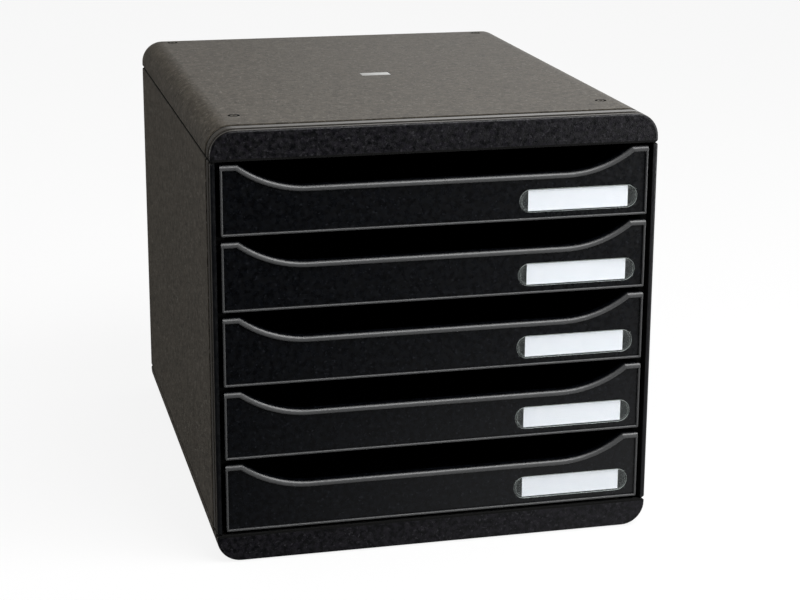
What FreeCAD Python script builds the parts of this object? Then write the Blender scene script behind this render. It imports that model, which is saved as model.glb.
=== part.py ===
import FreeCAD, Part
import math
import os

# Desktop drawer unit: a snap-together moulded housing with five pull-out trays.
# Millimetres. X runs to the right, the front faces -Y, Z is up.
# The origin is the centre of the footprint, on the surface the unit stands on.

os.makedirs("parts", exist_ok=True)

V = FreeCAD.Vector

# Whole unit
overall_width = 278.0
overall_depth = 347.0
overall_height = 271.0

# Housing shell
shell_wall = 3.0
cap_height = 18.4
base_height = 17.4
long_edge_radius = 15.0
end_edge_round = 1.6
rear_lip_wall = 2.0
seam_notch_depth = 2.0
seam_notch_rise = 1.3
seam_edge_round = 0.8

# Shallow grooves that frame the smooth band around the front of the housing
front_groove_setback = 2.4
front_groove_width = 5.0
rear_groove_setback = 13.4
rear_groove_width = 4.9
band_groove_depth = 0.8

# Stiffening ribs inside the cap and the base
cover_rib_thickness = 2.0
cover_rib_height = 5.0
cover_rib_spacing_x = 52.0
cover_rib_spacing_y = 66.0

# Snap tongues along the side panels
tongue_thickness = 1.5
tongue_height = 6.0
tongue_root = 5.0
tongue_end_gap = 4.0
catch_count = 4
catch_length = 24.0
catch_height = 1.6
catch_reach = 0.5
catch_above_seam = 3.0
fit_clearance = 0.2

# Back panel and its channels
back_panel_thickness = 2.5
back_panel_engagement = 5.5
back_channel_clearance = 0.1
channel_rib_thickness = 2.0
channel_rib_reach = 3.5
back_field_border = 14.0
back_field_depth = 0.6

# Drawer stack
drawer_count = 5
stack_end_gap = 2.15
front_gap = 3.5
front_side_gap = 3.0

# Drawer front
front_setback = 0.3
bead_proud = 1.5
bead_width = 1.4
bead_round = 0.6
front_plate_thickness = 2.5
front_corner_round = 1.4
scoop_depth = 14.3
scoop_flat = 10.5
scoop_radius = 70.0
lip_height = 3.6
lip_reach = 6.4
lip_front_round = 2.6
lip_under_round = 0.9
lip_rear_round = 1.2

# Drawer tray
tray_wall = 1.8
tray_side_inset = 5.0
tray_length = 332.0
tray_floor_rise = 1.2
tray_rim_drop = 3.3
tray_corner_radius = 8.0
tray_floor_round = 3.0

# Runners: flange on the tray, ledge under it and guide over it on the side panel
flange_reach = 6.0
flange_thickness = 1.8
flange_clearance = 0.3
ledge_reach = 6.0
ledge_thickness = 2.4
guide_clearance = 3.0
guide_thickness = 2.0
runner_front_gap = 3.0
runner_rear_gap = 1.5

# Pull-out stop
drawer_travel = 250.0
stop_clearance = 0.5
stop_lug_length = 5.0
stop_lug_gap = 0.6
stop_nib_length = 6.0
stop_nib_gap = 0.4

# Label window and card
window_length = 76.0
window_height = 14.5
window_thickness = 1.4
window_edge_round = 0.5
window_pocket_depth = 1.2
window_side_margin = 6.0
window_bottom_margin = 4.6
window_fit_gap = 0.15
card_length = 64.3
card_height = 13.1
card_thickness = 0.3

# Badge plate on the cap
badge_length = 20.0
badge_width = 11.0
badge_thickness = 0.5
badge_recess_depth = 0.6
badge_edge_round = 0.15
badge_fit_gap = 0.15
badge_corner_radius = 1.0

# Ring marks on the cap, over the feet
ring_outer_radius = 3.6
ring_groove_width = 1.3
ring_groove_depth = 0.6
ring_hole_radius = 1.2
ring_hole_depth = 1.6
ring_side_inset = 22.0
ring_front_inset = 46.5
ring_rear_inset = 9.0

# Feet
foot_radius = 6.0
foot_thickness = 1.9
foot_proud = 0.5
foot_edge_round = 0.5
foot_fit_gap = 0.15

# Modelling allowances: how far joined features run into each other, how far cutters
# run past a face, and how near counts as on a face
weld = 0.5
overrun = 1.0
near = 0.01

# Places worked out from the sizes above
half_width = overall_width / 2
half_depth = overall_depth / 2
band_grooves = (
    (-half_depth + front_groove_setback, front_groove_width),
    (-half_depth + rear_groove_setback, rear_groove_width),
)
panel_inner_x = half_width - shell_wall
base_bottom_z = foot_proud
lower_seam_z = base_bottom_z + base_height
upper_seam_z = overall_height - cap_height
stack_bottom_z = lower_seam_z + stack_end_gap
stack_height = upper_seam_z - lower_seam_z - 2 * stack_end_gap
front_height = (stack_height - (drawer_count - 1) * front_gap) / drawer_count
drawer_pitch = front_height + front_gap

front_half_width = panel_inner_x - front_side_gap
bead_front_y = -half_depth + front_setback
face_y = bead_front_y + bead_proud
plate_middle_y = face_y + front_plate_thickness / 2
plate_back_y = face_y + front_plate_thickness
tray_half_width = front_half_width - tray_side_inset
tray_rear_y = bead_front_y + tray_length
flange_half_width = tray_half_width + flange_reach
rim_height = front_height - tray_rim_drop
flange_low = rim_height - flange_thickness
ledge_top = flange_low - flange_clearance
guide_low = rim_height + guide_clearance
runner_front_y = plate_back_y + runner_front_gap

rear_lip_y = half_depth - rear_lip_wall
back_outer_y = rear_lip_y - back_channel_clearance
back_inner_y = back_outer_y - back_panel_thickness
channel_rib_y = back_inner_y - back_channel_clearance - channel_rib_thickness
runner_rear_y = channel_rib_y - runner_rear_gap

window_centre_x = front_half_width - window_side_margin - window_length / 2
window_centre_z = window_bottom_margin + window_height / 2
ring_x = half_width - ring_side_inset
ring_front_y = -half_depth + ring_front_inset
ring_rear_y = half_depth - ring_rear_inset


def block(x0, x1, y0, y1, z0, z1):
    """A box between two corners."""
    return Part.makeBox(x1 - x0, y1 - y0, z1 - z0, V(x0, y0, z0))


def prism_along_y(wire, y0, y1):
    """A flat outline in the XZ plane, drawn at y = 0, pushed from y0 to y1."""
    solid = Part.Face(wire).extrude(V(0, y1 - y0, 0))
    solid.translate(V(0, y0, 0))
    return solid


def arc_edge(start, middle, end):
    return Part.Arc(start, middle, end).toShape()


def line_edge(start, end):
    return Part.LineSegment(start, end).toShape()


def polygon(points):
    return Part.makePolygon(points + [points[0]])


def mirrored_x(shape):
    return shape.mirror(V(0, 0, 0), V(1, 0, 0))


def edges_where(shape, test):
    """The edges whose whole length passes the test, judged at both ends and the middle."""
    found = []
    for edge in shape.Edges:
        first, last = edge.ParameterRange
        samples = [edge.valueAt(first), edge.valueAt((first + last) / 2), edge.valueAt(last)]
        if all(test(point) for point in samples):
            found.append(edge)
    return found


def save(shape, node):
    solid = shape.removeSplitter()
    solid.exportStep("parts/" + node + ".step")


# Cap and base: one section, drawn with the seam at z = 0 and the flat deck at the top


def cover_outline(height, inset, bottom):
    """Section of the cover: upright sides and large-radius shoulders under a flat deck."""
    x = half_width - inset
    top = height - inset
    radius = long_edge_radius - inset
    shoulder = top - radius
    bend = radius * math.sqrt(0.5)
    edges = [
        line_edge(V(-x, 0, bottom), V(x, 0, bottom)),
        line_edge(V(x, 0, bottom), V(x, 0, shoulder)),
        arc_edge(V(x, 0, shoulder), V(x - radius + bend, 0, shoulder + bend), V(x - radius, 0, top)),
        line_edge(V(x - radius, 0, top), V(-x + radius, 0, top)),
        arc_edge(V(-x + radius, 0, top), V(-x + radius - bend, 0, shoulder + bend), V(-x, 0, shoulder)),
        line_edge(V(-x, 0, shoulder), V(-x, 0, bottom)),
    ]
    return Part.Wire(edges)


def notch_cutter(side, y0, y1):
    """Wedge that bevels the lower outside edge of a cover where it meets a side panel."""
    outer = side * (half_width + overrun)
    slope = seam_notch_rise / seam_notch_depth
    points = [
        V(side * (half_width - seam_notch_depth), 0, 0),
        V(outer, 0, slope * (seam_notch_depth + overrun)),
        V(outer, 0, -overrun),
        V(side * (half_width - seam_notch_depth), 0, -overrun),
    ]
    return prism_along_y(polygon(points), y0, y1)


def cover_shell(height):
    """Hollow cover with front and rear lips, seam bevels, rounded ends and band grooves."""
    solid = prism_along_y(cover_outline(height, 0, 0), -half_depth, half_depth)
    for side in (-1, 1):
        solid = solid.cut(notch_cutter(side, -half_depth - overrun, half_depth + overrun))
    rim = edges_where(solid, lambda p: abs(abs(p.y) - half_depth) < near
                      and p.z > seam_notch_rise - near)
    solid = solid.makeFillet(end_edge_round, rim)
    cavity = prism_along_y(cover_outline(height, shell_wall, -overrun),
                             -half_depth + shell_wall, rear_lip_y)
    solid = solid.cut(cavity)
    for start, width in band_grooves:
        end = start + width
        ring = prism_along_y(cover_outline(height, -overrun, -overrun), start, end)
        core = prism_along_y(cover_outline(height, band_groove_depth, -2 * overrun), start, end)
        solid = solid.cut(ring.cut(core))
    return solid


def centred_places(half_span, spacing):
    """Even places about the middle, as many as fit in the span."""
    count = int(half_span // spacing)
    return [index * spacing for index in range(-count, count + 1)]


def cover_ribs(height):
    """Lattice of ribs under the deck, and the rib that traps the back panel."""
    deck = height - shell_wall
    inside = half_width - long_edge_radius
    front = -half_depth + shell_wall
    ribs = []
    for x in centred_places(inside, cover_rib_spacing_x):
        ribs.append(block(x - cover_rib_thickness / 2, x + cover_rib_thickness / 2,
                          front, channel_rib_y, deck - cover_rib_height, deck))
    for y in centred_places(half_depth - ring_rear_inset, cover_rib_spacing_y):
        ribs.append(block(-inside, inside, y - cover_rib_thickness / 2, y + cover_rib_thickness / 2,
                          deck - cover_rib_height, deck))
    ribs.append(block(-inside, inside, channel_rib_y, channel_rib_y + channel_rib_thickness,
                      tongue_height / 2, deck))
    return ribs


def catch_places():
    """Middle of each snap catch along the depth."""
    first = runner_front_y + tongue_end_gap + catch_length
    last = channel_rib_y - tongue_end_gap - catch_length
    step = (last - first) / (catch_count - 1)
    return [first + step * index for index in range(catch_count)]


def catch_ridge(seam_offset, grow):
    """One row of half-round ridges on the outside of the right tongue."""
    ridges = []
    x = panel_inner_x - fit_clearance
    for y in catch_places():
        half = catch_length / 2 + grow
        points = [
            V(x - weld, 0, seam_offset - catch_height / 2 - grow),
            V(x, 0, seam_offset - catch_height / 2 - grow),
            V(x + catch_reach + grow, 0, seam_offset),
            V(x, 0, seam_offset + catch_height / 2 + grow),
            V(x - weld, 0, seam_offset + catch_height / 2 + grow),
        ]
        ridges.append(prism_along_y(polygon(points), y - half, y + half))
    return ridges


def cover(height):
    solid = cover_shell(height)
    solid = solid.fuse(cover_ribs(height))
    for groove in catch_ridge(catch_above_seam, fit_clearance):
        solid = solid.cut(groove)
        solid = solid.cut(mirrored_x(groove))
    return solid


def ring_places():
    return [(side * ring_x, y) for y in (ring_front_y, ring_rear_y) for side in (-1, 1)]


def ring_mark(x, y, top):
    """A shallow ring groove with a small hole in its middle."""
    low = top - ring_groove_depth
    outer = Part.makeCylinder(ring_outer_radius, ring_groove_depth + overrun, V(x, y, low))
    inner = Part.makeCylinder(ring_outer_radius - ring_groove_width, ring_groove_depth + overrun,
                              V(x, y, low))
    hole = Part.makeCylinder(ring_hole_radius, ring_hole_depth + overrun, V(x, y, top - ring_hole_depth))
    return outer.cut(inner).fuse(hole)


def rounded_plate(length, width, corner, z0, z1):
    plate = block(-length / 2, length / 2, -width / 2, width / 2, z0, z1)
    upright = edges_where(plate, lambda p: abs(abs(p.x) - length / 2) < near
                          and abs(abs(p.y) - width / 2) < near)
    return plate.makeFillet(corner, upright)


def top_cap():
    solid = cover(cap_height)
    for x, y in ring_places():
        solid = solid.cut(ring_mark(x, y, cap_height))
    recess = rounded_plate(badge_length + 2 * badge_fit_gap, badge_width + 2 * badge_fit_gap,
                           badge_corner_radius + badge_fit_gap, cap_height - badge_recess_depth,
                           cap_height + overrun)
    solid = solid.cut(recess)
    solid.translate(V(0, 0, upper_seam_z))
    return solid


def badge_plate():
    bottom = overall_height - badge_recess_depth
    plate = rounded_plate(badge_length, badge_width, badge_corner_radius, bottom, bottom + badge_thickness)
    upper = edges_where(plate, lambda p: p.z > bottom + badge_thickness - near)
    return plate.makeFillet(badge_edge_round, upper)


def base_tray():
    solid = cover(base_height)
    for x, y in ring_places():
        solid = solid.cut(Part.makeCylinder(foot_radius + foot_fit_gap, foot_thickness,
                                            V(x, y, base_height - (foot_thickness - foot_proud))))
    solid = solid.mirror(V(0, 0, 0), V(0, 0, 1))
    solid.translate(V(0, 0, lower_seam_z))
    return solid


def foot(x, y):
    pad = Part.makeCylinder(foot_radius, foot_thickness, V(x, y, 0))
    rim = edges_where(pad, lambda p: p.z < near and abs(math.hypot(p.x - x, p.y - y) - foot_radius) < near)
    return pad.makeFillet(foot_edge_round, rim)


# Side panels


def panel_outline():
    """Section of the right panel, bevelled outside at both seams."""
    low = lower_seam_z
    high = upper_seam_z
    inner = panel_inner_x
    bevel_x = half_width - seam_notch_depth
    return polygon([
        V(inner, 0, low),
        V(bevel_x, 0, low),
        V(half_width, 0, low + seam_notch_rise),
        V(half_width, 0, high - seam_notch_rise),
        V(bevel_x, 0, high),
        V(inner, 0, high),
    ])


def panel_wall():
    solid = prism_along_y(panel_outline(), -half_depth, half_depth)
    seams = edges_where(solid, lambda p: p.x > half_width - near and abs(
        abs(p.z - (lower_seam_z + upper_seam_z) / 2)
        - ((upper_seam_z - lower_seam_z) / 2 - seam_notch_rise)) < near)
    solid = solid.makeFillet(seam_edge_round, seams)
    ends = edges_where(solid, lambda p: p.x > half_width - near and abs(abs(p.y) - half_depth) < near)
    solid = solid.makeFillet(end_edge_round, ends)
    for start, width in band_grooves:
        solid = solid.cut(block(half_width - band_groove_depth, half_width + overrun,
                                start, start + width, lower_seam_z, upper_seam_z))
    return solid


def housing_inside():
    """Space inside the cap, the panels and the base, less the fit clearance."""
    upper = cover_outline(cap_height, shell_wall + fit_clearance, -overall_height)
    lower = cover_outline(base_height, shell_wall + fit_clearance, -overall_height)
    upper_space = prism_along_y(upper, -half_depth, half_depth)
    lower_space = prism_along_y(lower, -half_depth, half_depth).mirror(V(0, 0, 0), V(0, 0, 1))
    upper_space.translate(V(0, 0, upper_seam_z))
    lower_space.translate(V(0, 0, lower_seam_z))
    return upper_space.common(lower_space)


def tongue(direction, seam):
    """Strip that stands inside the cap or base and follows its wall, with its snap ridges."""
    outer = panel_inner_x - fit_clearance
    inner = outer - tongue_thickness
    y0 = runner_front_y
    y1 = channel_rib_y - tongue_end_gap
    tip = seam + direction * tongue_height
    root = seam - direction * tongue_root
    solid = block(inner, outer, y0, y1, min(tip, root), max(tip, root)).common(housing_inside())
    solid = solid.fuse(block(inner, panel_inner_x + weld, y0, y1, min(seam, root), max(seam, root)))
    for ridge in catch_ridge(direction * catch_above_seam, 0):
        ridge.translate(V(0, 0, seam))
        solid = solid.fuse(ridge)
    return solid


def runner_set(bottom):
    """Ledge, guide and stop lug for one drawer, on the right panel."""
    inner = panel_inner_x - ledge_reach
    outer = panel_inner_x + weld
    ledge = block(inner, outer, runner_front_y, runner_rear_y,
                  bottom + ledge_top - ledge_thickness, bottom + ledge_top)
    guide = block(inner, outer, runner_front_y, runner_rear_y,
                  bottom + guide_low, bottom + guide_low + guide_thickness)
    lug = block(inner, outer, runner_front_y, runner_front_y + stop_lug_length,
                bottom + rim_height + stop_lug_gap, bottom + guide_low + weld)
    return [ledge, guide, lug]


def right_side_panel():
    solid = panel_wall()
    pieces = [tongue(1, upper_seam_z), tongue(-1, lower_seam_z)]
    for index in range(drawer_count):
        pieces += runner_set(drawer_bottom(index))
    rib_inner = panel_inner_x - channel_rib_reach
    pieces.append(block(rib_inner, panel_inner_x + weld, channel_rib_y,
                        channel_rib_y + channel_rib_thickness, lower_seam_z, upper_seam_z))
    pieces.append(block(rib_inner, panel_inner_x + weld, rear_lip_y, half_depth,
                        lower_seam_z, upper_seam_z))
    return solid.fuse(pieces)


def back_panel():
    side = panel_inner_x - fit_clearance
    low = lower_seam_z - back_panel_engagement
    high = upper_seam_z + back_panel_engagement
    solid = block(-side, side, back_inner_y, back_outer_y, low, high).common(housing_inside())
    field = block(-side + back_field_border, side - back_field_border,
                  back_outer_y - back_field_depth, back_outer_y + overrun,
                  lower_seam_z + back_field_border, upper_seam_z - back_field_border)
    upright = edges_where(field, lambda p: abs(abs(p.x) - side + back_field_border) < near and abs(
        abs(p.z - (lower_seam_z + upper_seam_z) / 2)
        - ((upper_seam_z - lower_seam_z) / 2 - back_field_border)) < near)
    return solid.cut(field.makeFillet(back_field_border / 2, upright))


# Drawers


def drawer_bottom(index):
    """Height of the lower edge of a drawer front; index 0 is the top drawer."""
    return stack_bottom_z + (drawer_count - 1 - index) * drawer_pitch


def scoop_places():
    """Where the scoop starts, where its arc meets the low line, and the height of the low line."""
    start_x = front_half_width - scoop_flat
    low_z = front_height - scoop_depth
    run = math.sqrt(scoop_radius ** 2 - (scoop_radius - scoop_depth) ** 2)
    return start_x, start_x - run, low_z


def scoop_edges():
    """The top line of the front, from left to right: flat, arc down, low line, arc up, flat."""
    start_x, low_x, low_z = scoop_places()
    top = front_height
    half_turn = math.asin((start_x - low_x) / scoop_radius) / 2
    mid_x = low_x + scoop_radius * math.sin(half_turn)
    mid_z = low_z + scoop_radius * (1 - math.cos(half_turn))
    return [
        line_edge(V(-front_half_width, 0, top), V(-start_x, 0, top)),
        arc_edge(V(-start_x, 0, top), V(-mid_x, 0, mid_z), V(-low_x, 0, low_z)),
        line_edge(V(-low_x, 0, low_z), V(low_x, 0, low_z)),
        arc_edge(V(low_x, 0, low_z), V(mid_x, 0, mid_z), V(start_x, 0, top)),
        line_edge(V(start_x, 0, top), V(front_half_width, 0, top)),
    ]


def front_outline():
    edges = scoop_edges()
    edges.append(line_edge(V(front_half_width, 0, front_height), V(front_half_width, 0, 0)))
    edges.append(line_edge(V(front_half_width, 0, 0), V(-front_half_width, 0, 0)))
    edges.append(line_edge(V(-front_half_width, 0, 0), V(-front_half_width, 0, front_height)))
    return Part.Wire(edges)


def bead_frame():
    """Raised bead down both sides and along the bottom, rounded on its front."""
    outer = front_half_width
    inner = outer - bead_width
    top = front_height - lip_height / 2
    outline = polygon([
        V(-outer, 0, 0), V(outer, 0, 0), V(outer, 0, top), V(inner, 0, top),
        V(inner, 0, bead_width), V(-inner, 0, bead_width), V(-inner, 0, top), V(-outer, 0, top),
    ])
    solid = prism_along_y(outline, bead_front_y, plate_middle_y)
    rim = edges_where(solid, lambda p: abs(p.y - bead_front_y) < near)
    rim = [edge for edge in rim if edge.BoundBox.ZMin < top - bead_width]
    return solid.makeFillet(bead_round, rim)


def lip_section():
    """Rounded section of the top lip, at the left end of the front."""
    x = -front_half_width
    y0 = bead_front_y
    y1 = y0 + lip_reach
    z1 = front_height
    z0 = z1 - lip_height
    a = lip_front_round
    b = lip_rear_round
    c = lip_under_round
    ka = a * (1 - math.sqrt(0.5))
    kb = b * (1 - math.sqrt(0.5))
    kc = c * (1 - math.sqrt(0.5))
    edges = [
        line_edge(V(x, y0 + c, z0), V(x, y1 - b, z0)),
        arc_edge(V(x, y1 - b, z0), V(x, y1 - kb, z0 + kb), V(x, y1, z0 + b)),
        line_edge(V(x, y1, z0 + b), V(x, y1, z1 - b)),
        arc_edge(V(x, y1, z1 - b), V(x, y1 - kb, z1 - kb), V(x, y1 - b, z1)),
        line_edge(V(x, y1 - b, z1), V(x, y0 + a, z1)),
        arc_edge(V(x, y0 + a, z1), V(x, y0 + ka, z1 - ka), V(x, y0, z1 - a)),
        line_edge(V(x, y0, z1 - a), V(x, y0, z0 + c)),
        arc_edge(V(x, y0, z0 + c), V(x, y0 + kc, z0 + kc), V(x, y0 + c, z0)),
    ]
    return Part.Wire(edges)


def rolled_lip():
    """The lip swept along the top line, mitred at the two crisp corners."""
    sweep = Part.BRepOffsetAPI.MakePipeShell(Part.Wire(scoop_edges()))
    sweep.setBiNormalMode(V(0, 1, 0))
    sweep.setTransitionMode(1)
    sweep.add(lip_section())
    sweep.build()
    sweep.makeSolid()
    return sweep.shape()


def corner_mask():
    """Rounded-corner outline that trims the assembled front."""
    mask = block(-front_half_width, front_half_width, bead_front_y - overrun, tray_rear_y + overrun,
                 0, front_height)
    corners = edges_where(mask, lambda p: abs(abs(p.x) - front_half_width) < near
                          and (p.z < near or p.z > front_height - near))
    corners = [edge for edge in corners if abs(edge.tangentAt(edge.FirstParameter).y) > 0.9]
    return mask.makeFillet(front_corner_round, corners)


def stadium(length, height, x, z):
    radius = height / 2
    half = length / 2 - radius
    edges = [
        line_edge(V(x - half, 0, z - radius), V(x + half, 0, z - radius)),
        arc_edge(V(x + half, 0, z - radius), V(x + half + radius, 0, z), V(x + half, 0, z + radius)),
        line_edge(V(x + half, 0, z + radius), V(x - half, 0, z + radius)),
        arc_edge(V(x - half, 0, z + radius), V(x - half - radius, 0, z), V(x - half, 0, z - radius)),
    ]
    return Part.Wire(edges)


def drawer_front():
    plate = prism_along_y(front_outline(), face_y, plate_back_y)
    solid = plate.fuse([bead_frame(), rolled_lip()])
    solid = solid.common(corner_mask())
    pocket = stadium(window_length + 2 * window_fit_gap, window_height + 2 * window_fit_gap,
                     window_centre_x, window_centre_z)
    return solid.cut(prism_along_y(pocket, face_y - overrun, face_y + window_pocket_depth))


def rounded_tub(half, rear, floor, corner, floor_round, top):
    """Solid block whose rear upright corners and floor edges are rounded."""
    tub = block(-half, half, plate_middle_y, rear, floor, top)
    upright = edges_where(tub, lambda p: p.y > rear - near and abs(abs(p.x) - half) < near)
    tub = tub.makeFillet(corner, upright)
    lower = edges_where(tub, lambda p: p.z < floor + near)
    lower = [edge for edge in lower if edge.BoundBox.YMax > plate_middle_y + near]
    return tub.makeFillet(floor_round, lower)


def tray_tub():
    outer = rounded_tub(tray_half_width, tray_rear_y, tray_floor_rise,
                        tray_corner_radius, tray_floor_round, rim_height)
    inner = rounded_tub(tray_half_width - tray_wall, tray_rear_y - tray_wall,
                        tray_floor_rise + tray_wall, tray_corner_radius - tray_wall,
                        tray_floor_round - tray_wall, rim_height + overrun)
    return outer.cut(inner)


def side_flange(side):
    """Flange along the rim, with the nib that meets the stop lug at full pull-out."""
    inner = tray_half_width - tray_wall / 2
    rear = tray_rear_y - tray_corner_radius
    nib_front = runner_front_y + stop_lug_length + drawer_travel + stop_clearance
    flange = block(inner, flange_half_width, plate_middle_y, rear, flange_low, rim_height)
    nib = block(inner, flange_half_width, nib_front, nib_front + stop_nib_length,
                rim_height - weld, guide_low - stop_nib_gap)
    solid = flange.fuse(nib)
    return solid if side > 0 else mirrored_x(solid)


def drawer_tray(index):
    solid = drawer_front().fuse([tray_tub(), side_flange(-1), side_flange(1)])
    solid.translate(V(0, 0, drawer_bottom(index)))
    return solid


def label_window(index):
    back = face_y + window_pocket_depth - card_thickness
    outline = stadium(window_length, window_height, window_centre_x, window_centre_z)
    solid = prism_along_y(outline, back - window_thickness, back)
    rim = edges_where(solid, lambda p: p.y < back - window_thickness + near)
    solid = solid.makeFillet(window_edge_round, rim)
    solid.translate(V(0, 0, drawer_bottom(index)))
    return solid


def label_card(index):
    back = face_y + window_pocket_depth
    solid = block(window_centre_x - card_length / 2, window_centre_x + card_length / 2,
                  back - card_thickness, back,
                  window_centre_z - card_height / 2, window_centre_z + card_height / 2)
    solid.translate(V(0, 0, drawer_bottom(index)))
    return solid


# Write every piece

save(top_cap(), "top_cap")
save(badge_plate(), "badge_plate")
save(base_tray(), "base_tray")
panel = right_side_panel()
save(panel, "right_side_panel")
save(mirrored_x(panel), "left_side_panel")
save(back_panel(), "back_panel")

for y, end in ((ring_front_y, "front"), (ring_rear_y, "rear")):
    for side, hand in ((-1, "left"), (1, "right")):
        save(foot(side * ring_x, y), "foot_" + end + "_" + hand)

for number in range(drawer_count):
    save(drawer_tray(number), "drawer_tray_" + str(number + 1))
    save(label_window(number), "label_window_" + str(number + 1))
    save(label_card(number), "label_card_" + str(number + 1))
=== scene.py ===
# %% [markdown]
# A desktop drawer unit is a black moulded box with five shallow trays. Its solid pieces come
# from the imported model, already at their real size and place. This file gives them their
# plastic finishes, models the small loose pieces in finer detail, and sets up a plain studio.
# We start by loading the pieces, so that everything later is placed by asking where they are.

# %% Load the pieces
import math
import bmesh
import bpy
from mathutils import Matrix, Vector


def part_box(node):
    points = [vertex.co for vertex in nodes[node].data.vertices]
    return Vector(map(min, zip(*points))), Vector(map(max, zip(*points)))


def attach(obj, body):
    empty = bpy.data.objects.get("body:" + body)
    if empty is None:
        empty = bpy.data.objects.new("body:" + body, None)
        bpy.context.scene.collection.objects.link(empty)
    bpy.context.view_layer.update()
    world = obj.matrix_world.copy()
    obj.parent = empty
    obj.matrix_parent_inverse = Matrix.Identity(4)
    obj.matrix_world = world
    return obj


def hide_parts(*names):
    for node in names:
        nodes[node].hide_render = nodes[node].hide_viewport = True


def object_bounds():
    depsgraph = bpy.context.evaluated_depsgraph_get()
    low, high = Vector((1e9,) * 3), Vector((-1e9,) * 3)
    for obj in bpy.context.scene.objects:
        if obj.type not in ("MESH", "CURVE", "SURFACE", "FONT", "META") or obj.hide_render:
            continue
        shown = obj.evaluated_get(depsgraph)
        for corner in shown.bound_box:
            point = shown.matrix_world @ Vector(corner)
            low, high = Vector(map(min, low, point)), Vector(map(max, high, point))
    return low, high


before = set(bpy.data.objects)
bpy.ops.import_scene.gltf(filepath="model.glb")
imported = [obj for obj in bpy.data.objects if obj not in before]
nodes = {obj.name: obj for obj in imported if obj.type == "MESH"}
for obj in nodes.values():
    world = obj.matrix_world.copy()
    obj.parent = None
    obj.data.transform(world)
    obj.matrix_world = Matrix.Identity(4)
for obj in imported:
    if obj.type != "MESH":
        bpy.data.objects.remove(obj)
cad_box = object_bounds()
print("pieces:", len(nodes), "box:", [round(v, 4) for v in cad_box[0]], [round(v, 4) for v in cad_box[1]])

# %% [markdown]
# The photograph was taken from a little left of the front and above, with a fairly long lens.
# A camera here is a place, a direction to look in, and a focal length. The direction is kept
# as two angles and a slight roll, in radians, because those are what one reads off the edges
# in a photograph. The lens is shifted down by a twentieth of the frame's width, so that the
# upright edges lean less.

# %% Camera
MM = 0.001
IMAGE_WIDTH = 800
FOCAL_PIXELS = 1960.3
SENSOR_WIDTH = 36.0
CAMERA_PLACE = Vector((-295.6, -1285.2, 496.8)) * MM
LOOK_AZIMUTH = -0.2393
LOOK_ELEVATION = 0.2643
LOOK_ROLL = 0.0045
LENS_SHIFT = -0.05
NEAREST_SEEN = 50 * MM


def make_camera():
    backwards = Vector((math.sin(LOOK_AZIMUTH) * math.cos(LOOK_ELEVATION),
                        -math.cos(LOOK_AZIMUTH) * math.cos(LOOK_ELEVATION),
                        math.sin(LOOK_ELEVATION)))
    data = bpy.data.cameras.new("camera")
    data.sensor_width = SENSOR_WIDTH
    data.lens = SENSOR_WIDTH * FOCAL_PIXELS / IMAGE_WIDTH
    data.shift_y = LENS_SHIFT
    data.clip_start = NEAREST_SEEN
    camera = bpy.data.objects.new("camera", data)
    bpy.context.scene.collection.objects.link(camera)
    camera.rotation_mode = "QUATERNION"
    turn = Matrix.Rotation(LOOK_ROLL, 3, backwards)
    upright = (-backwards).to_track_quat("-Z", "Y").to_matrix()
    camera.rotation_quaternion = (turn @ upright).to_quaternion()
    camera.location = CAMERA_PLACE
    bpy.context.scene.camera = camera
    return camera


camera = make_camera()
print("lens", round(camera.data.lens, 1), "mm, shift", camera.data.shift_y)

# %% [markdown]
# A material in Blender is a tree of nodes, wired from one node's sockets to the next one's.
# That could be clicked together, but here two helpers do it: one adds a node and sets its
# values by name, and one feeds a socket, either with a wire or with a plain value.

# %% Adding nodes


def node_of(tree, kind, **values):
    """Adds a shader node and sets what is given: sockets by name, anything else as a setting."""
    node = tree.nodes.new(kind)
    for name, value in values.items():
        label = name.replace("_", " ")
        if label in node.inputs:
            node.inputs[label].default_value = value
        else:
            setattr(node, name, value)
    return node


def feed(tree, socket, value):
    """Links a socket to another one, or sets it to a plain value."""
    if isinstance(value, bpy.types.NodeSocket):
        tree.links.new(value, socket)
    else:
        socket.default_value = value


print("node helpers ready")

# %% [markdown]
# A finish often depends on where on the object it is, and light on where it comes from. That
# takes a few sums: scaling a value from one range to another, plain arithmetic, splitting a
# place into its three axes, and measuring how far a direction points towards another.

# %% Sums in a shader


def remap(tree, value, low, high, to_low=0.0, to_high=1.0):
    """Scales a value from one range to another, and holds it at the ends of the new range."""
    mapped = node_of(tree, "ShaderNodeMapRange", From_Min=low, From_Max=high, To_Min=to_low, To_Max=to_high)
    feed(tree, mapped.inputs["Value"], value)
    return mapped.outputs["Result"]


def maths(tree, operation, first, second=0.0):
    node = node_of(tree, "ShaderNodeMath", operation=operation)
    feed(tree, node.inputs[0], first)
    feed(tree, node.inputs[1], second)
    return node.outputs[0]


def axes_of(tree, place):
    """The X, Y and Z of a place or a direction."""
    parts = node_of(tree, "ShaderNodeSeparateXYZ")
    feed(tree, parts.inputs[0], place)
    return parts.outputs


def towards(tree, direction, goal):
    """How far one direction points towards another: 1 is straight at it, -1 straight away."""
    product = node_of(tree, "ShaderNodeVectorMath", operation="DOT_PRODUCT")
    feed(tree, product.inputs[0], direction)
    feed(tree, product.inputs[1], goal)
    return product.outputs["Value"]


print("sums ready")

# %% [markdown]
# Black plastic shows mostly what it reflects, so the surround matters more than the lamps.
# In a mirror, this one is white at the right and behind, and falls off to dark at the left,
# as if a black flag stood there, which is what shades the photograph's left side. On the
# viewer's side it is only a tenth as bright, because the wide gloss of the fronts would
# otherwise turn them grey. Its full white is for rays straight from the camera, or through
# something clear, so the background adds no light to the object.

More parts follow.
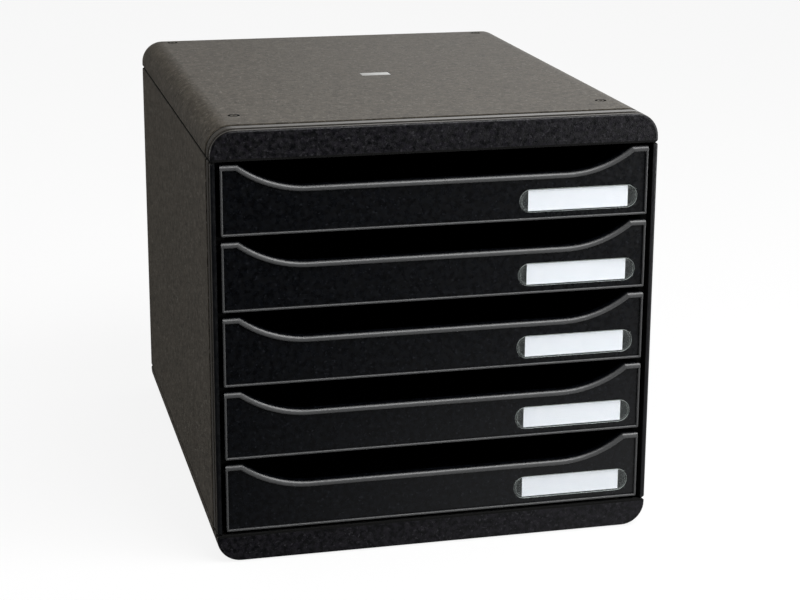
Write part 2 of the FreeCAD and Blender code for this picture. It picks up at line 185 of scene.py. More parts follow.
# %% Surround
WHITE = (1.0, 1.0, 1.0, 1.0)
AMBIENT = 0.50
BRIGHT_SIDE = (0.97, 0.0, 0.25)
FLAG_EDGE = (0.11, 0.30)
DIM_REFLECTION = 0.08
BRIGHT_REFLECTION = 1.15
VIEWER_FADE = (-0.1, 0.6)
VIEWER_SHARE = 0.10


def white_light(tree, kind, strength):
    """A white background, or a white glow, of a given strength."""
    light = node_of(tree, kind, Color=WHITE)
    feed(tree, light.inputs["Strength"], strength)
    return light.outputs[0]


def mixed_shader(tree, share, first, second):
    mix = node_of(tree, "ShaderNodeMixShader")
    feed(tree, mix.inputs[0], share)
    feed(tree, mix.inputs[1], first)
    feed(tree, mix.inputs[2], second)
    return mix.outputs[0]


def by_ray(tree, seen, mirrored, unseen):
    """One shader for what the camera sees, one for mirror images, and one for all other light."""
    ray = node_of(tree, "ShaderNodeLightPath").outputs
    by_camera = maths(tree, "MAXIMUM", ray["Is Camera Ray"], ray["Is Transmission Ray"])
    return mixed_shader(tree, by_camera, mixed_shader(tree, ray["Is Glossy Ray"], unseen, mirrored), seen)


def light_world():
    world = bpy.data.worlds.new("studio")
    bpy.context.scene.world = world
    world.use_nodes = True
    tree = world.node_tree
    tree.nodes.clear()
    direction = node_of(tree, "ShaderNodeTexCoord").outputs["Generated"]
    side = towards(tree, direction, BRIGHT_SIDE)
    past_flag = remap(tree, side, *FLAG_EDGE, DIM_REFLECTION, BRIGHT_REFLECTION)
    behind = remap(tree, axes_of(tree, direction)["Y"], *VIEWER_FADE, VIEWER_SHARE, 1.0)
    ambient = white_light(tree, "ShaderNodeBackground", AMBIENT)
    mirrored = white_light(tree, "ShaderNodeBackground", maths(tree, "MULTIPLY", past_flag, behind))
    white = white_light(tree, "ShaderNodeBackground", 1.0)
    out = node_of(tree, "ShaderNodeOutputWorld")
    feed(tree, out.inputs["Surface"], by_ray(tree, white, mirrored, ambient))


light_world()
print("surround reflects", DIM_REFLECTION, "to", BRIGHT_REFLECTION)

# %% [markdown]
# The fronts mirror the floor before them, so what they see there shades them from top to
# bottom. In their mirror the floor is a white sheet that fades between 14 and 42 cm in front
# of the unit. It gets darker to the left, along lines that lean to the right as they leave
# the unit, as the mirrored view does. That is why the lowest drawer looks lighter than the
# third. A real sheet of paper would do the same, but it would show in the picture.

# %% Mirrored sheet
FRONT = cad_box[0].y
SHEET_FADE = (0.14, 0.42)
SHEET_NEAR = 0.56
SHEET_FAR = 0.14
SHEET_LEAN = 0.24
SHEET_SIDES = (-0.175, 0.235)
SHEET_LEFT_SHARE = 0.05


def sheet_strength(tree):
    """How bright each place on the floor is in a mirror image."""
    place = axes_of(tree, node_of(tree, "ShaderNodeTexCoord").outputs["Object"])
    ahead = maths(tree, "SUBTRACT", FRONT, place["Y"])
    near = remap(tree, ahead, *SHEET_FADE, SHEET_NEAR, SHEET_FAR)
    lean = maths(tree, "MULTIPLY", maths(tree, "MAXIMUM", ahead, 0.0), SHEET_LEAN)
    across = remap(tree, maths(tree, "SUBTRACT", place["X"], lean), *SHEET_SIDES, SHEET_LEFT_SHARE, 1.0)
    return maths(tree, "MULTIPLY", near, across)


print("sheet fades from", SHEET_FADE[0], "to", SHEET_FADE[1], "m ahead")

# %% [markdown]
# The floor looks white to the camera and keeps a faint shadow, because what the camera sees is
# part glow, part white paint. White paint alone would have to be lit very brightly to come out
# white. For the light that it sends back to the object the floor is a mid grey.

# %% Floor
FLOOR_HALF = 4.0
FLOOR_GAP = 0.2 * MM
FLOOR_PAINT = (0.9, 0.9, 0.9, 1.0)
FLOOR_GREY = (0.4, 0.4, 0.4, 1.0)
GLOW_SHARE = 0.86


def floor_material():
    material = bpy.data.materials.new("pale_floor")
    material.use_nodes = True
    tree = material.node_tree
    tree.nodes.clear()
    paint = node_of(tree, "ShaderNodeBsdfDiffuse", Color=FLOOR_PAINT).outputs[0]
    shown = mixed_shader(tree, GLOW_SHARE, paint, white_light(tree, "ShaderNodeEmission", 1.0))
    sheet = white_light(tree, "ShaderNodeEmission", sheet_strength(tree))
    grey = node_of(tree, "ShaderNodeBsdfDiffuse", Color=FLOOR_GREY).outputs[0]
    out = node_of(tree, "ShaderNodeOutputMaterial")
    feed(tree, out.inputs["Surface"], by_ray(tree, shown, sheet, grey))
    return material


def make_floor():
    bpy.ops.object.select_all(action="DESELECT")
    bpy.ops.mesh.primitive_plane_add(size=2 * FLOOR_HALF, location=(0, 0, cad_box[0].z - FLOOR_GAP))
    floor = bpy.context.object
    floor.name = "floor"
    floor.data.materials.append(floor_material())


make_floor()
print("floor", 2 * FLOOR_HALF, "m wide")

# %% [markdown]
# Three soft lamps: a large one above the front, which lights the deck and the paper cards and
# draws the highlight along the rolled lips; a small one at the right, whose sheen makes the
# fronts a little lighter towards their right ends; and one further off, at the left and a
# little behind, which only fills that side. The camera sees none of them. Colours are shown
# as they are worked out, with the Standard view.

# %% Lamps


def soft_lamp(name, place, target, size, power):
    """A rectangular lamp that looks at its target."""
    data = bpy.data.lights.new(name, "AREA")
    data.shape = "RECTANGLE"
    data.size, data.size_y = size
    data.energy = power
    lamp = bpy.data.objects.new(name, data)
    bpy.context.scene.collection.objects.link(lamp)
    lamp.visible_camera = False
    lamp.location = place
    lamp.rotation_euler = (Vector(target) - Vector(place)).to_track_quat("-Z", "Y").to_euler()
    return lamp


lamps = [
    soft_lamp("softbox_above", (0.65, -0.85, 1.45), target=(0.0, -0.10, 0.13), size=(1.6, 0.75), power=28.0),
    soft_lamp("softbox_right", (0.64, -0.56, 0.20), target=(0.1, -0.17, 0.13), size=(0.3, 0.3), power=2.1),
    soft_lamp("softbox_left", (-1.60, 0.40, 0.30), target=(0.0, 0.0, 0.13), size=(0.8, 0.5), power=5.8),
]
bpy.context.scene.view_settings.view_transform = "Standard"
print("lamps:", [lamp.name for lamp in lamps])

# %% [markdown]
# All the plastics share a recipe: a Principled shader, a colour that wanders a little, and a
# fine bump for the texture that the mould leaves. Everything reads Object coordinates, which
# are metres on the real piece, so a grain size can be written as a real size.

# %% Plastic recipe


class Finish:
    """A new material with its tree, its Principled shader and its Object coordinates."""

    def __init__(self, name):
        self.material = bpy.data.materials.new(name)
        self.material.use_nodes = True
        self.tree = self.material.node_tree
        self.shader = self.tree.nodes["Principled BSDF"]
        self.where = node_of(self.tree, "ShaderNodeTexCoord").outputs["Object"]
        self.x, self.y, self.z = axes_of(self.tree, self.where)

    def noise(self, size, detail=2.0, rough=0.5, warp=0.0):
        """Noise whose features are about size metres across."""
        noise = node_of(self.tree, "ShaderNodeTexNoise", Scale=1.0 / size, Detail=detail, Roughness=rough,
                        Distortion=warp)
        feed(self.tree, noise.inputs["Vector"], self.where)
        return noise.outputs["Fac"]

    def set(self, socket, value):
        feed(self.tree, self.shader.inputs[socket], value)

    def bump(self, height, distance, strength):
        bump = node_of(self.tree, "ShaderNodeBump", Distance=distance)
        feed(self.tree, bump.inputs["Height"], height)
        feed(self.tree, bump.inputs["Strength"], strength)
        self.set("Normal", bump.outputs["Normal"])

    def moulded_texture(self, coarse, fine, distance, strength):
        """A bump of two noises together, a coarse one and a fine one."""
        self.bump(maths(self.tree, "ADD", self.noise(coarse), self.noise(fine)), distance, strength)


print("recipe ready")

# %% [markdown]
# Real moulded plastic is never one even colour: it has soft clouds, ragged grain and specks,
# and its gloss wanders too. A photograph of grain could be wrapped round the piece, but it
# would stretch and repeat. Noise does neither, so each of these is made from a noise and two
# close tones. A noise lies evenly about 0.5, and the blur says how softly its tones meet.

# %% Mottle, grain and specks
# Which sockets of a Mix node hold the first value, the second and the result, for each kind
MIX_SOCKETS = {"FLOAT": (2, 3, 0), "RGBA": (6, 7, 2)}
MIDDLE = 0.5
SOFT = dict(detail=3.0, rough=0.6)
RAGGED = dict(detail=6.0, rough=0.75, warp=0.7)
SPECK_EDGE = 0.08
GLOSS_PATCH = 3 * MM
GLOSS_SPREAD = (0.4, 0.6)


def mixed(tree, share, first, second, kind="RGBA"):
    """A colour between two others, or a number where the kind is FLOAT."""
    mix = node_of(tree, "ShaderNodeMix", data_type=kind)
    first_socket, second_socket, result = MIX_SOCKETS[kind]
    feed(tree, mix.inputs[0], share)
    feed(tree, mix.inputs[first_socket], first)
    feed(tree, mix.inputs[second_socket], second)
    return mix.outputs[result]


def two_tone(finish, noise, dark, light, blur):
    return mixed(finish.tree, remap(finish.tree, noise, MIDDLE - blur, MIDDLE + blur), dark, light)


def mottled(finish, size, dark, light, blur=0.15):
    """Soft patches of two close colours."""
    return two_tone(finish, finish.noise(size, **SOFT), dark, light, blur)


def grainy(finish, size, dark, light, blur):
    """Ragged grains of two colours, with finer and finer grain inside them."""
    return two_tone(finish, finish.noise(size, **RAGGED), dark, light, blur)


def speckled(finish, colour, size, level, speck, below=False):
    """Sparse specks, where a fine noise rises above a level, or falls below it."""
    edge = (level - SPECK_EDGE, level) if below else (level, level + SPECK_EDGE)
    shares = (1.0, 0.0) if below else (0.0, 1.0)
    return mixed(finish.tree, remap(finish.tree, finish.noise(size), *edge, *shares), colour, speck)


def patchy_gloss(finish, smooth, rough):
    """Roughness that wanders between two values, in patches the size of rice grains."""
    return remap(finish.tree, finish.noise(GLOSS_PATCH, **SOFT), *GLOSS_SPREAD, smooth, rough)


print("gloss patches", round(GLOSS_PATCH / MM, 1), "mm across")

# %% [markdown]
# The housing is a warm black plastic with a fine leather-like grain. Round its front run two
# grooves with a polished band between them, then a polished rim, and then the front face. The
# grooves get painted shade, and the front face a colder and darker colour, also painted shade.
# Each could be a node of its own with a plain finish, but on the real unit they are one moulding.
# All of them lie at steady distances behind the front, so one material finds each by its Y
# coordinate: a zone is 1 in its place and 0 elsewhere.

# %% Zones round the front
SHARP = 0.15 * MM
FRONT_FACE = FRONT + 0.9 * MM
FRONT_GROOVE = (FRONT + 2.4 * MM, FRONT + 7.4 * MM)
REAR_GROOVE = (FRONT + 13.4 * MM, FRONT + 18.3 * MM)


def between(tree, value, low, high):
    """1 where a value lies between two limits, with sharp edges just inside them."""
    rising = remap(tree, value, low, low + SHARP)
    falling = remap(tree, value, high - SHARP, high, 1.0, 0.0)
    return maths(tree, "MULTIPLY", rising, falling)


def under(tree, value, limit):
    """1 where a value is under a limit."""
    return remap(tree, value, limit - SHARP, limit, 1.0, 0.0)


def combined(tree, operation, first, *others):
    """Several values taken together, such as the highest or the lowest of them."""
    for other in others:
        first = maths(tree, operation, first, other)
    return first


print("polished band", round((REAR_GROOVE[0] - FRONT_GROOVE[1]) / MM, 1), "mm wide")

# %% [markdown]
# Right over each foot, the deck has a ring groove round a small blind hole, the marks of the
# mould. The solid model has them already, and the finish paints shade into them, a near black.
# The unit is the same left and right, so the sign of X is dropped, and along Y the nearer of
# two places counts. The painted shade is a little wider than the groove, to take in its edges.

# %% Ring marks
DECK = cad_box[1].z
MARKED_LAYER = (DECK - 3 * MM, DECK - 2 * MM)
RING_OUTER = 3.8 * MM
RING_INNER = 2.1 * MM
RING_HOLE = 1.2 * MM


def centre_of(name):
    low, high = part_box(name)
    return (low + high) / 2


def distance_from(tree, value, level):
    return maths(tree, "ABSOLUTE", maths(tree, "SUBTRACT", value, level))


def ring_mark_shade(finish):
    """1 in the ring grooves and holes on the deck, right over the feet, where shade is painted."""
    tree = finish.tree
    front = centre_of("foot_front_right")
    rear = centre_of("foot_rear_right")
    across = maths(tree, "SUBTRACT", maths(tree, "ABSOLUTE", finish.x), front.x)
    along = combined(tree, "MINIMUM", *[distance_from(tree, finish.y, foot.y) for foot in (front, rear)])
    squares = [maths(tree, "MULTIPLY", side, side) for side in (across, along)]
    radius = maths(tree, "SQRT", combined(tree, "ADD", *squares))
    ring = between(tree, radius, RING_INNER, RING_OUTER)
    mark = maths(tree, "MAXIMUM", ring, under(tree, radius, RING_HOLE))
    return maths(tree, "MULTIPLY", mark, remap(tree, finish.z, *MARKED_LAYER))


print("ring marks", round(centre_of("foot_front_right").x / MM, 1), "mm to each side")

# %% [markdown]
# The inside of the drawer bay and the depth of the two seams, where the covers meet the side
# panels, are places that no light reaches. The soft light of the studio would still lighten them,
# so the finish finds them by their place and paints shade there: a near black.

# %% Drawer bay and seams
HALF_WIDTH = cad_box[1].x
BACK = cad_box[1].y
WALL = 3.0 * MM
SEAMS = (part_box("base_tray")[1].z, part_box("top_cap")[0].z)
SEAM_HALF = 1.4 * MM
SEAM_START = (0.4 * MM, 0.8 * MM)
BAY_MARGIN = 11 * MM


def bay_and_seam_shade(finish):
    """1 inside the drawer bay and in the depth of the two seams, where shade is painted."""
    tree = finish.tree
    inward = maths(tree, "SUBTRACT", HALF_WIDTH, maths(tree, "ABSOLUTE", finish.x))
    past_wall = remap(tree, inward, WALL - 2 * SHARP, WALL - SHARP)
    in_height = between(tree, finish.z, SEAMS[0] - BAY_MARGIN, SEAMS[1] + BAY_MARGIN)
    in_depth = between(tree, finish.y, FRONT_FACE, BACK - 2 * SHARP)
    bay = combined(tree, "MULTIPLY", past_wall, in_height, in_depth)
    off_seam = combined(tree, "MINIMUM", *[distance_from(tree, finish.z, seam) for seam in SEAMS])
    seam = maths(tree, "MULTIPLY", remap(tree, inward, *SEAM_START), under(tree, off_seam, SEAM_HALF))
    return maths(tree, "MAXIMUM", bay, seam)


print("seams at", [round(seam / MM, 1) for seam in SEAMS], "mm")

# %% [markdown]
# The grain itself has three scales, as it has on the real moulding: broad soft clouds, ragged
# grains some millimetres across, and specks lighter and darker than both. One scale alone
# looks like a printed pattern.

# %% Housing grain
CLOUDS = dict(size=20 * MM, dark=(0.056, 0.0470, 0.0345, 1), light=(0.074, 0.0640, 0.050, 1))
GRAINS = dict(size=5 * MM, dark=(0.030, 0.0250, 0.0180, 1), light=(0.106, 0.0925, 0.0725, 1), blur=0.15)
GRAIN_SHARE = 0.8
LIGHT_SPECKS = dict(size=2.0 * MM, level=0.62, speck=(0.16, 0.148, 0.125, 1))
DARK_SPECKS = dict(size=2.2 * MM, level=0.38, speck=(0.020, 0.016, 0.012, 1), below=True)


def grained_colour(finish):
    colour = mixed(finish.tree, GRAIN_SHARE, mottled(finish, **CLOUDS), grainy(finish, **GRAINS))
    colour = speckled(finish, colour, **LIGHT_SPECKS)
    return speckled(finish, colour, **DARK_SPECKS)


print("clouds", round(CLOUDS["size"] / MM), "mm and grains", round(GRAINS["size"] / MM), "mm across")

# %% [markdown]
# The front face is given a cold near black, which is painted shade, tinted like the cooler
# light from the front. On the two covers it has a fine mottle, and on the narrow front edges of
# the side panels, which come out of another mould, it is plain. The material tells them apart by
# height: the covers lie beyond the seams.

# %% Front face
# These tones are painted shade: far darker and colder than the grain of the same housing.
SHADED_FRONT_MOTTLE = dict(size=3.4 * MM, dark=(0.0, 0.0002, 0.001, 1), light=(0.007, 0.0062, 0.0092, 1), blur=0.09)
SHADED_FRONT_SPECKS = dict(size=1.8 * MM, level=0.62, speck=(0.020, 0.019, 0.023, 1))
SHADED_PANEL_EDGE = (0.0025, 0.003, 0.004, 1)


def shaded_front_colour(finish):
    middle = sum(SEAMS) / 2
    reach = (SEAMS[1] - SEAMS[0]) / 2
    on_cover = remap(finish.tree, distance_from(finish.tree, finish.z, middle), reach - SHARP, reach)
    cover = speckled(finish, mottled(finish, **SHADED_FRONT_MOTTLE), **SHADED_FRONT_SPECKS)
    return mixed(finish.tree, on_cover, SHADED_PANEL_EDGE, cover)


print("side panels are", round((SEAMS[1] - SEAMS[0]) / MM, 1), "mm high")

# %% [markdown]
# Now the zones and the colours come together. Each mix lays one zone over what is there: the
# polished plastic over the grain, the front face with its painted shade over both, and the
# painted shade of the grooves, ring marks, bay and seams over all. The gloss and the bump follow
# the same zones. The bump has two scales, so that the deck breaks up the light when it is seen
# at a flat angle, and it nearly stops on the polished plastic.

# %% Housing plastic
POLISHED = (0.060, 0.055, 0.048, 1)
PAINTED_SHADE_BLACK = (0.0015, 0.0015, 0.0015, 1)
GRAINED_ROUGHNESS = 0.54
POLISHED_ROUGHNESS = 0.30
GRAINED_BUMP = 0.5
POLISHED_BUMP = 0.02


def painted_shade_zone(finish):
    """1 where shade is painted: in the two grooves, the ring marks, the drawer bay and the seams."""
    grooves = [between(finish.tree, finish.y, *groove) for groove in (FRONT_GROOVE, REAR_GROOVE)]
    return combined(finish.tree, "MAXIMUM", *grooves, ring_mark_shade(finish), bay_and_seam_shade(finish))


def housing_plastic():
    finish = Finish("grained_housing_plastic")
    tree = finish.tree
    face = under(tree, finish.y, FRONT_FACE)
    polished = between(tree, finish.y, FRONT_FACE - SHARP, REAR_GROOVE[1])
    dark = painted_shade_zone(finish)
    colour = mixed(tree, polished, grained_colour(finish), POLISHED)
    # The front face gets its shaded, colder colour: painted shade.
    colour = mixed(tree, face, colour, shaded_front_colour(finish))
    # Painted shade: the grooves, ring marks, bay and seams get a near black.
    finish.set("Base Color", mixed(tree, dark, colour, PAINTED_SHADE_BLACK))
    rough = remap(tree, polished, 0.0, 1.0, GRAINED_ROUGHNESS, POLISHED_ROUGHNESS)
    rough = mixed(tree, face, rough, patchy_gloss(finish, smooth=0.34, rough=0.56), "FLOAT")
    finish.set("Roughness", maths(tree, "MAXIMUM", rough, dark))
    finish.set("Specular IOR Level", 0.32)
    strength = remap(tree, polished, 0.0, 1.0, GRAINED_BUMP, POLISHED_BUMP)
    finish.moulded_texture(coarse=2.4 * MM, fine=0.9 * MM, distance=0.25 * MM, strength=strength)
    return finish


def finish_node(name, finish):
    nodes[name].data.materials.clear()
    nodes[name].data.materials.append(finish.material)


housing = housing_plastic()
for name in ("top_cap", "base_tray", "left_side_panel", "right_side_panel"):
    finish_node(name, housing)
print("housing material has", len(housing.tree.nodes), "nodes")

# %% [markdown]
# A drawer is one moulding, nearly black, with a fine satin grain on its face. The bead round
# its front and the rolled lip are polished and catch the light, and on top of that their colour
# is a lighter grey: a painted highlight. They are the only parts that stand proud of the
# recessed face, so the material tells them apart by depth alone.

# %% Drawer plastic
DRAWERS = range(1, 6)
BEAD_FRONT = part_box("drawer_tray_1")[0].y
BEAD_PROUD = 1.5 * MM
BEAD_MARGIN = 0.25 * MM
# The bead's grey is lighter than its black plastic: a painted highlight, beside its real gloss.
BEAD_PAINTED_HIGHLIGHT_GREY = (0.052, 0.053, 0.054, 1)
BEAD_ROUGHNESS = 0.32
FACE_BUMP = 0.18
FACE_MOTTLE = dict(size=3.5 * MM, dark=(0.0, 0.0002, 0.0008, 1), light=(0.0016, 0.0022, 0.0036, 1), blur=0.08)
FACE_SPECKS = dict(size=1.8 * MM, level=0.64, speck=(0.009, 0.010, 0.013, 1))


def drawer_plastic():
    finish = Finish("satin_drawer_plastic")
    tree = finish.tree
    bead = under(tree, finish.y, BEAD_FRONT + BEAD_PROUD - BEAD_MARGIN)
    face = speckled(finish, mottled(finish, **FACE_MOTTLE), **FACE_SPECKS)
    finish.set("Base Color", mixed(tree, bead, face, BEAD_PAINTED_HIGHLIGHT_GREY))
    rough = mixed(tree, bead, patchy_gloss(finish, smooth=0.25, rough=0.33), BEAD_ROUGHNESS, "FLOAT")
    finish.set("Roughness", rough)
    finish.set("Specular IOR Level", 0.5)
    strength = remap(tree, bead, 0.0, 1.0, FACE_BUMP, 0.0)
    finish.moulded_texture(coarse=2.2 * MM, fine=0.8 * MM, distance=0.2 * MM, strength=strength)
    return finish


drawer_finish = drawer_plastic()
for number in DRAWERS:
    finish_node(f"drawer_tray_{number}", drawer_finish)
print("bead stands", round(BEAD_PROUD / MM, 2), "mm proud")

# %% [markdown]
# The back panel is a plainer grade of the same plastic, with a coarser and flatter grain. It
# needs two close tones and a fine bump and no more, and so do the cards, the badge and the
# feet. They share a function, which takes the shader's other values by their names.

# %% Back panel plastic
PANEL_TONES = dict(size=20 * MM, dark=(0.016, 0.016, 0.0155, 1), light=(0.024, 0.024, 0.023, 1))


def plain_finish(name, tones, grain, distance, strength, detail=2.0, **settings):
    finish = Finish(name)
    finish.set("Base Color", mottled(finish, **tones))
    finish.bump(finish.noise(grain, detail), distance, strength)
    for socket, value in settings.items():
        finish.set(socket.replace("_", " "), value)
    return finish


panel_finish = plain_finish("back_panel_plastic", PANEL_TONES, grain=1.2 * MM, distance=0.1 * MM,
                            strength=0.4, Roughness=0.55)
finish_node("back_panel", panel_finish)
print("back panel finished")

# %% [markdown]
# Small pieces are modelled as by hand: a primitive is added at its size, taken into edit mode,
# and shaped with operators. Cards, windows and the badge all start as a flat plate, so one
# helper adds a plate at its place and one gives it its thickness. An operator acts on all that
# is selected, so each helper first says what that is.

# %% Starting a piece


def plate_start(name, centre, width, height, turn=(0.0, 0.0, 0.0)):
    """A flat rectangle of a given size, left in edit mode with everything selected."""
    bpy.ops.object.select_all(action="DESELECT")
    bpy.ops.mesh.primitive_plane_add(size=1.0)
    piece = bpy.context.object
    piece.name = name
    piece.scale = (width, height, 1.0)
    bpy.ops.object.transform_apply(location=False, rotation=False, scale=True)
    piece.rotation_euler = turn
    piece.location = centre
    bpy.ops.object.transform_apply(location=True, rotation=True, scale=False)
    bpy.ops.object.mode_set(mode="EDIT")
    bpy.ops.mesh.select_all(action="SELECT")
    return piece


def give_thickness(move):
    """Extrudes the whole outline by a move and turns the faces outwards."""
    bpy.ops.mesh.select_all(action="SELECT")
    bpy.ops.mesh.extrude_region_move(TRANSFORM_OT_translate={"value": move})
    bpy.ops.mesh.select_all(action="SELECT")
    bpy.ops.mesh.normals_make_consistent(inside=False)


print("plates ready")

# %% [markdown]
# A finished piece is handed over. Its doubles are merged, its faces turned outwards and its
# round edges smoothed, and then it gets its material, it is hung under the body that carries it,
# and the solid piece that it stands for is hidden. What the unit has several times is modelled
# once and copied. Each copy has a mesh of its own and is moved inside it, so that every object
# sits at the origin.

# %% Handing a piece over
MERGE_DISTANCE = 0.001 * MM
ROUND_EDGE = math.radians(35)


def stand_for(piece, body, node):
    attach(piece, body)
    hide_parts(node)


def hand_over(piece, finish, body, node):
    """Ends the modelling, smooths the round edges and hands the piece to its body."""
    bpy.ops.mesh.select_all(action="SELECT")
    bpy.ops.mesh.remove_doubles(threshold=MERGE_DISTANCE)
    bpy.ops.mesh.normals_make_consistent(inside=False)
    bpy.ops.object.mode_set(mode="OBJECT")
    bpy.ops.object.shade_smooth_by_angle(angle=ROUND_EDGE)
    piece.data.materials.clear()
    piece.data.materials.append(finish.material)
    stand_for(piece, body, node)
    return piece


def copy_to(first, first_node, name, body, node):
    """Copies a piece from the place of one solid piece to the place of another."""
    piece = first.copy()
    piece.data = first.data.copy()
    piece.name = name
    bpy.context.scene.collection.objects.link(piece)
    piece.data.transform(Matrix.Translation(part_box(node)[0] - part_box(first_node)[0]))
    stand_for(piece, body, node)


print("edges are smooth below", round(math.degrees(ROUND_EDGE)), "degrees")

# %% [markdown]
# Each drawer has a paper label: a plain white card, a fraction of a millimetre thick, behind a
# clear window. The card is a plate whose corners are rounded, and it lies at the back of its
# recess, just behind the window. One is modelled, and the other four are copies.

# %% Label cards
PAPER_THICKNESS = 0.2 * MM
CARD_CORNER = 0.3 * MM
UPRIGHT = (math.radians(90), 0.0, 0.0)
PAPER_TONES = dict(size=6 * MM, dark=(0.80, 0.835, 0.885, 1), light=(0.83, 0.86, 0.905, 1))


def label_card():
    low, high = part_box("label_card_1")
    centre = (low + high) / 2
    centre.y = high.y - PAPER_THICKNESS
    card = plate_start("card_1", centre, high.x - low.x, high.z - low.z, UPRIGHT)
    bpy.ops.mesh.bevel(offset=CARD_CORNER, segments=3, affect="VERTICES")
    give_thickness((0, PAPER_THICKNESS, 0))
    return card


paper = plain_finish("card_paper", PAPER_TONES, grain=0.25 * MM, distance=0.02 * MM, strength=0.3, detail=3.0,
                     Roughness=0.85, Specular_IOR_Level=0.2)
first_card = hand_over(label_card(), paper, "drawer_1", "label_card_1")
for number in DRAWERS[1:]:
    copy_to(first_card, "label_card_1", f"card_{number}", f"drawer_{number}", f"label_card_{number}")
print("cards:", len(DRAWERS))

# %% [markdown]
# A window is clear where it is looked at straight on, and bright at its rounded edge, where
# real plastic bends the light. Glass shading would bend the light too, but it takes many more
# samples to come out clean. So the plastic is nearly see-through on its face, and denser and pale
# where its surface turns away from the front: a painted highlight in place of the bent light,
# over the faint green tint that the plastic has.

# %% Clear plastic
FORWARD = Vector((0, -1, 0))
TURN_RANGE = (0.2, 0.97)
EDGE_HIGHLIGHT_ALPHA = 0.55
FACE_ALPHA = 0.03
CLEAR_TINT_AND_HIGHLIGHT = dict(size=9 * MM, dark=(0.66, 0.74, 0.71, 1), light=(0.74, 0.80, 0.78, 1))


def clear_finish():
    finish = Finish("clear_window_plastic")
    tree = finish.tree
    finish.set("Base Color", mottled(finish, **CLEAR_TINT_AND_HIGHLIGHT))
    finish.set("Roughness", 0.10)
    normal = node_of(tree, "ShaderNodeNewGeometry").outputs["Normal"]
    facing = maths(tree, "ABSOLUTE", towards(tree, normal, FORWARD))
    # Where the surface turns away from the front, the pale tint gets dense: a painted highlight.
    finish.set("Alpha", remap(tree, facing, *TURN_RANGE, EDGE_HIGHLIGHT_ALPHA, FACE_ALPHA))
    return finish


clear = clear_finish()
print("window alpha", FACE_ALPHA, "to", EDGE_HIGHLIGHT_ALPHA)

# %% [markdown]
# To bevel one rim or to inset one face, it has to be selected, and in a script there is
# nothing to click on. So edges and faces are picked by a test: an edge by the level that it
# lies at, and the outline of a plate by where it looks and by its many corners.

# %% Picking edges and faces
SAME_LEVEL = 0.01 * MM
SAME_DIRECTION = 0.99
FEW_CORNERS = 8


def pick(piece, kind, test):
    """Selects the edges or faces that pass a test, and nothing else."""
    bpy.ops.mesh.select_mode(type=kind)
    bpy.ops.mesh.select_all(action="DESELECT")
    mesh = bmesh.from_edit_mesh(piece.data)
    for item in {"EDGE": mesh.edges, "FACE": mesh.faces}[kind]:
        if test(item):
            item.select_set(True)
    mesh.select_flush_mode()
    bmesh.update_edit_mesh(piece.data)


def edge_on(axis, level):
    """A test for edges that lie at a level along an axis."""
    return lambda edge: all(abs(getattr(vertex.co, axis) - level) < SAME_LEVEL for vertex in edge.verts)


def outline_towards(direction):
    """A test for a face of many corners that looks in a direction."""
    return lambda face: face.normal.dot(direction) > SAME_DIRECTION and len(face.verts) > FEW_CORNERS


print("picking ready")

# %% [markdown]
# The window is a clear pill-shaped lens that snaps into the front. Its outline starts as a
# rectangle whose four corners are bevelled until the ends are round: by just under half the
# height, because at half of it the corners meet, and the points that nearly do are merged. It
# is then extruded to its thickness, its front edge is rounded, and a shallow inset leaves a
# fine raised rim. Its round edges turn away from the front and so carry the painted highlight of
# the clear plastic, which draws the bright arcs that the ends of the real ones show.

# %% Label windows
NEARLY_ALL = 0.998
END_SEGMENTS = 16
END_MERGE = 0.02 * MM
CARD_AIR = 0.05 * MM
WINDOW_ROUND = 0.45 * MM
RIM_WIDTH = 0.9 * MM
RIM_STEP = 0.15 * MM


def label_window():
    low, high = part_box("label_window_1")
    height = high.z - low.z
    centre = (low + high) / 2
    centre.y = low.y
    window = plate_start("window_1", centre, high.x - low.x, height, UPRIGHT)
    bpy.ops.mesh.bevel(offset=height / 2 * NEARLY_ALL, segments=END_SEGMENTS, affect="VERTICES")
    bpy.ops.mesh.select_all(action="SELECT")
    bpy.ops.mesh.remove_doubles(threshold=END_MERGE)
    give_thickness((0, high.y - low.y - CARD_AIR, 0))
    pick(window, "EDGE", edge_on("y", low.y))
    bpy.ops.mesh.bevel(offset=WINDOW_ROUND, segments=4, affect="EDGES")
    pick(window, "FACE", outline_towards(FORWARD))
    bpy.ops.mesh.inset(thickness=RIM_WIDTH, depth=0.0)
    bpy.ops.mesh.inset(thickness=RIM_STEP, depth=-RIM_STEP)
    return window


first_window = hand_over(label_window(), clear, "drawer_1", "label_window_1")
for number in DRAWERS[1:]:
    copy_to(first_window, "label_window_1", f"window_{number}", f"drawer_{number}", f"label_window_{number}")
print("window faces:", len(first_window.data.polygons))

# %% [markdown]
# The badge on the deck is a small bare metal plate. It starts as a rectangle with rounded
# corners, gets its thickness, and then a bevel round its upper edge. A sharp edge would stay
# invisible from most sides, and the bevel catches the light.

# %% Badge plate
HOUSING_BODY = "housing"
BADGE_CORNER = 1.0 * MM
BADGE_BEVEL = 0.2 * MM
BADGE_TONES = dict(size=4 * MM, dark=(0.52, 0.52, 0.51, 1), light=(0.60, 0.60, 0.585, 1))


def badge_plate():
    low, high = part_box("badge_plate")
    centre = (low + high) / 2
    centre.z = low.z
    badge = plate_start("badge", centre, high.x - low.x, high.y - low.y)
    bpy.ops.mesh.bevel(offset=BADGE_CORNER, segments=6, affect="VERTICES")
    give_thickness((0, 0, high.z - low.z))
    pick(badge, "EDGE", edge_on("z", high.z))
    bpy.ops.mesh.bevel(offset=BADGE_BEVEL, segments=3, affect="EDGES")
    return badge


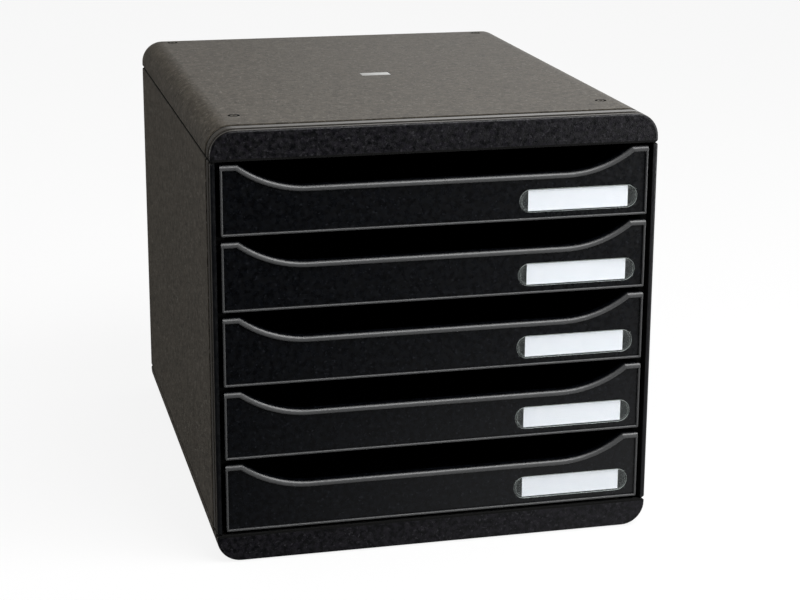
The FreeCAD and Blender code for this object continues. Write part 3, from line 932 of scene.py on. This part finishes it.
metal = plain_finish("badge_metal", BADGE_TONES, grain=0.3 * MM, distance=0.02 * MM, strength=0.25,
                     detail=3.0, Metallic=0.85, Roughness=0.38)
badge = hand_over(badge_plate(), metal, HOUSING_BODY, "badge_plate")
print("badge faces:", len(badge.data.polygons))

# %% [markdown]
# The unit stands on four rubber feet under its ring marks. A foot is a disc with a rounded
# lower edge and a ring moulded into its sole. Four insets of the lower face cut the ring:
# across, into the rubber, across again and back out.

# %% Rubber feet
FOOT_SIDES = 64
FOOT_ROUND = 0.5 * MM
SOLE_STRIP = 1.2 * MM
SOLE_SLOPE = 0.2 * MM
SOLE_DEPTH = 0.3 * MM
DOWN = Vector((0, 0, -1))
RUBBER_TONES = dict(size=4 * MM, dark=(0.012, 0.012, 0.012, 1), light=(0.02, 0.02, 0.02, 1))


def rubber_foot():
    low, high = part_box("foot_front_right")
    radius = (high.x - low.x) / 2
    bpy.ops.object.select_all(action="DESELECT")
    bpy.ops.mesh.primitive_cylinder_add(vertices=FOOT_SIDES, radius=radius, depth=high.z - low.z,
                                        location=(low + high) / 2)
    foot = bpy.context.object
    foot.name = "rubber_foot_front_right"
    bpy.ops.object.transform_apply(location=True, rotation=True, scale=True)
    bpy.ops.object.mode_set(mode="EDIT")
    pick(foot, "EDGE", edge_on("z", low.z))
    bpy.ops.mesh.bevel(offset=FOOT_ROUND, segments=4, affect="EDGES")
    pick(foot, "FACE", outline_towards(DOWN))
    for depth in (-SOLE_DEPTH, SOLE_DEPTH):
        bpy.ops.mesh.inset(thickness=SOLE_STRIP, depth=0.0)
        bpy.ops.mesh.inset(thickness=SOLE_SLOPE, depth=depth)
    return foot


rubber = plain_finish("foot_rubber", RUBBER_TONES, grain=0.6 * MM, distance=0.1 * MM, strength=0.5,
                      Roughness=0.8)
first_foot = hand_over(rubber_foot(), rubber, HOUSING_BODY, "foot_front_right")
for place in ("front_left", "rear_left", "rear_right"):
    copy_to(first_foot, "foot_front_right", "rubber_foot_" + place, HOUSING_BODY, "foot_" + place)
print("foot faces:", len(first_foot.data.polygons))
